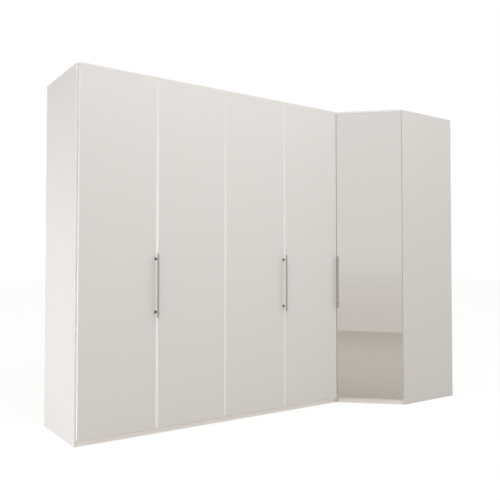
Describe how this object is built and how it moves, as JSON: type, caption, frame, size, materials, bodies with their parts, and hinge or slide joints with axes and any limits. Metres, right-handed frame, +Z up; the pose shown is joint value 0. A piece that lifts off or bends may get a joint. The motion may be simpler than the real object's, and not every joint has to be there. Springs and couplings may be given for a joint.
{
  "type": "corner wardrobe",
  "caption": "Tall corner wardrobe: a straight run with folding gloss glass doors on bar handles, and a diagonal mirror door in the corner unit, on a low plinth.",
  "frame": {"origin": "centre of the footprint's bounding box, on the floor", "axes": "+X along the straight run towards the corner unit, +Y from the doors to the rear wall, +Z up"},
  "size_m": [2.8782, 0.9162, 2.16],
  "materials": {
    "white_board": "matt white melamine-faced board",
    "back_board": "thin white-faced fibreboard",
    "leaf_board": "white lacquered board with a bright white edge",
    "white_glass": "high-gloss warm white back-lacquered glass",
    "mirror_pane": "silvered mirror",
    "white_track": "white powder-coated profile",
    "steel_fittings": "zinc-plated steel",
    "rail_tube": "satin steel oval tube",
    "handle_metal": "brushed bar on darker feet",
    "roller_plastic": "grey nylon"
  },
  "bodies": {
    "carcass": {"left_side_panel": "white_board", "right_side_panel": "white_board", "centre_partition": "white_board", "top_panel": "white_board", "bottom_panel": "white_board", "plinth_strip": "white_board", "rear_plinth_rail": "white_board", "hat_shelf_left": "white_board", "hat_shelf_right": "white_board", "corner_side_panel": "white_board", "corner_end_panel": "white_board", "corner_top_panel": "white_board", "corner_bottom_panel": "white_board", "corner_post": "white_board", "corner_plinth": "white_board", "corner_hat_shelf": "white_board", "back_panel_left": "back_board", "back_panel_right": "back_board", "corner_back_panel_rear": "back_board", "corner_back_panel_wall": "back_board", "door_track": "white_track", "corner_door_head": "white_track", "bottom_pivot_bracket_1": "steel_fittings", "bottom_pivot_bracket_3": "steel_fittings", "mirror_door_bottom_bracket": "steel_fittings", "clothes_rail_left": "rail_tube", "clothes_rail_right": "rail_tube", "corner_clothes_rail": "rail_tube"},
    "leaf_1": {"door_leaf_1_board": "leaf_board", "door_leaf_1_pane": "white_glass", "top_pivot_pin_1": "steel_fittings", "handle_1": "handle_metal", "left_pair_low_hinge_pin_wing": "steel_fittings", "left_pair_middle_hinge_pin_wing": "steel_fittings", "left_pair_high_hinge_pin_wing": "steel_fittings"},
    "leaf_2": {"door_leaf_2_board": "leaf_board", "door_leaf_2_pane": "white_glass", "guide_pin_2": "steel_fittings", "left_pair_low_hinge_loose_wing": "steel_fittings", "left_pair_middle_hinge_loose_wing": "steel_fittings", "left_pair_high_hinge_loose_wing": "steel_fittings"},
    "roller_2": {"guide_roller_2": "roller_plastic"},
    "leaf_3": {"door_leaf_3_board": "leaf_board", "door_leaf_3_pane": "white_glass", "top_pivot_pin_3": "steel_fittings", "handle_3": "handle_metal", "right_pair_low_hinge_pin_wing": "steel_fittings", "right_pair_middle_hinge_pin_wing": "steel_fittings", "right_pair_high_hinge_pin_wing": "steel_fittings"},
    "leaf_4": {"door_leaf_4_board": "leaf_board", "door_leaf_4_pane": "white_glass", "guide_pin_4": "steel_fittings", "right_pair_low_hinge_loose_wing": "steel_fittings", "right_pair_middle_hinge_loose_wing": "steel_fittings", "right_pair_high_hinge_loose_wing": "steel_fittings"},
    "roller_4": {"guide_roller_4": "roller_plastic"},
    "mirror_door": {"mirror_door_board": "leaf_board", "mirror_door_pane": "mirror_pane", "mirror_door_top_pin": "steel_fittings", "mirror_door_handle": "handle_metal"}
  },
  "joints": [
    {"name": "leaf_1_swing", "type": "hinge", "parent": "carcass", "child": "leaf_1", "pos_m": [-1.42265, -0.11974, 1.0915], "axis": [0, 0, -1], "range_deg": [0, 88]},
    {"name": "leaf_2_fold", "type": "hinge", "parent": "leaf_1", "child": "leaf_2", "pos_m": [-0.94315, -0.09644, 1.0915], "axis": [0, 0, 1], "range_deg": [0, 176]},
    {"name": "roller_2_spin", "type": "hinge", "parent": "leaf_2", "child": "roller_2", "pos_m": [-0.46365, -0.11974, 2.1498], "axis": [0, 0, 1], "continuous": true},
    {"name": "leaf_3_swing", "type": "hinge", "parent": "carcass", "child": "leaf_3", "pos_m": [-0.44665, -0.11974, 1.0915], "axis": [0, 0, -1], "range_deg": [0, 88]},
    {"name": "leaf_4_fold", "type": "hinge", "parent": "leaf_3", "child": "leaf_4", "pos_m": [0.03285, -0.09644, 1.0915], "axis": [0, 0, 1], "range_deg": [0, 176]},
    {"name": "roller_4_spin", "type": "hinge", "parent": "leaf_4", "child": "roller_4", "pos_m": [0.51235, -0.11974, 2.1498], "axis": [0, 0, 1], "continuous": true},
    {"name": "mirror_door_swing", "type": "hinge", "parent": "carcass", "child": "mirror_door", "pos_m": [0.86055, -0.44851, 1.0915], "axis": [0, 0, 1], "range_deg": [0, 100]}
  ],
  "couplings": [
    {"joint": "leaf_2_fold", "follows": "leaf_1_swing", "ratio": 2},
    {"joint": "leaf_4_fold", "follows": "leaf_3_swing", "ratio": 2}
  ]
}
